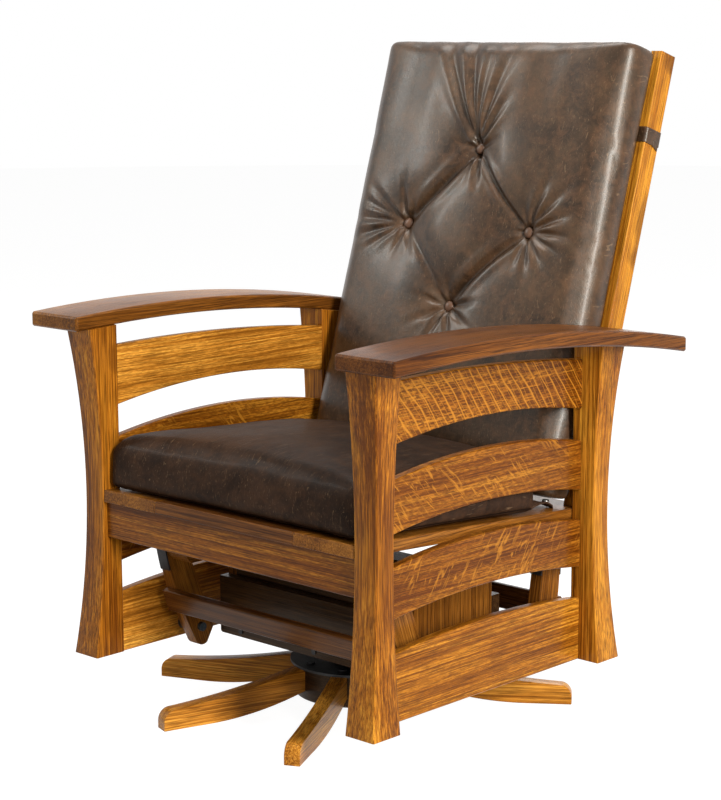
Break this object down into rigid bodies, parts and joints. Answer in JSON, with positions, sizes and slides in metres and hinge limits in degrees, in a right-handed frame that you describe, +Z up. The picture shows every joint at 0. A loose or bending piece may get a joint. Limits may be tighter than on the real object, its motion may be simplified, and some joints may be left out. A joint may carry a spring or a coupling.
{
  "type": "swivel glider chair",
  "caption": "Oak reclined-back glider armchair with bowed arms and side slats, tufted leather cushions, swinging links and a swivel on a star base.",
  "frame": {"origin": "on the floor under the middle of the chair's outline, 67.7 mm behind the swivel axis", "axes": "+Z up along the swivel axis, -Y towards the chair's front, +X to the right seen from the front"},
  "size_m": [0.7894, 0.8174, 1.0558],
  "materials": {
    "oak": "satin",
    "dark_oak": "satin",
    "plywood": "matte",
    "black_steel": "satin",
    "bolt_steel": "satin",
    "leather": "satin",
    "cushion_leather": "satin"
  },
  "bodies": {
    "star_base": {"star_leg_1": "oak", "star_leg_2": "oak", "star_leg_3": "oak", "star_leg_4": "oak", "star_leg_5": "oak", "base_hub": "dark_oak", "lower_swivel_plate": "black_steel", "swivel_spindle": "bolt_steel", "leg_screws": "bolt_steel"},
    "turret": {"upper_swivel_plate": "black_steel", "turret_platform": "dark_oak", "turret_front_board": "dark_oak", "turret_rear_board": "dark_oak", "turret_spreaders": "dark_oak", "upper_pivot_bolts": "bolt_steel", "board_screws": "bolt_steel", "turret_side_board_left": "dark_oak", "turret_side_board_right": "dark_oak", "pivot_rail_left": "dark_oak", "pivot_rail_right": "dark_oak"},
    "front_links": {"front_link_left": "dark_oak", "front_link_right": "dark_oak", "front_link_caps": "black_steel", "front_crossrail": "dark_oak"},
    "rear_links": {"rear_link_left": "dark_oak", "rear_link_right": "dark_oak", "rear_link_caps": "black_steel", "rear_crossrail": "dark_oak"},
    "chair": {"front_post_left": "oak", "front_post_right": "oak", "back_post_left": "oak", "back_post_right": "oak", "bottom_panel_left": "oak", "bottom_panel_right": "oak", "lower_slat_left": "oak", "lower_slat_right": "oak", "middle_slat_left": "oak", "middle_slat_right": "oak", "upper_slat_left": "oak", "upper_slat_right": "oak", "arm_left": "dark_oak", "arm_right": "dark_oak", "deck_side_rail_left": "dark_oak", "deck_side_rail_right": "dark_oak", "back_stile_left": "oak", "back_stile_right": "oak", "front_apron": "oak", "rear_apron": "oak", "deck_front_rail": "dark_oak", "deck_rear_rail": "dark_oak", "deck_panel": "plywood", "back_top_rail": "oak", "back_slats": "oak", "lower_pivot_bolts": "bolt_steel", "back_frame_bolts": "bolt_steel", "seat_cushion": "cushion_leather", "back_cushion": "cushion_leather", "cushion_buttons": "leather", "back_straps": "leather", "seat_cushion_tabs": "leather"}
  },
  "joints": [
    {"name": "swivel", "type": "hinge", "parent": "star_base", "child": "turret", "pos_m": [0, -0.06766, 0.08], "axis": [0, 0, 1], "continuous": true},
    {"name": "glide", "type": "hinge", "parent": "turret", "child": "front_links", "pos_m": [0, -0.25266, 0.248], "axis": [1, 0, 0], "range_deg": [-16, 16]},
    {"name": "rear_link_swing", "type": "hinge", "parent": "turret", "child": "rear_links", "pos_m": [0, 0.11734, 0.248], "axis": [1, 0, 0], "range_deg": [-16, 16]},
    {"name": "chair_hang", "type": "hinge", "parent": "front_links", "child": "chair", "pos_m": [0, -0.19966, 0.1], "axis": [1, 0, 0], "range_deg": [-19.97, 19.97]}
  ],
  "couplings": [
    {"joint": "rear_link_swing", "follows": "glide", "ratio": 1},
    {"joint": "chair_hang", "follows": "glide", "ratio": -1.2481}
  ]
}
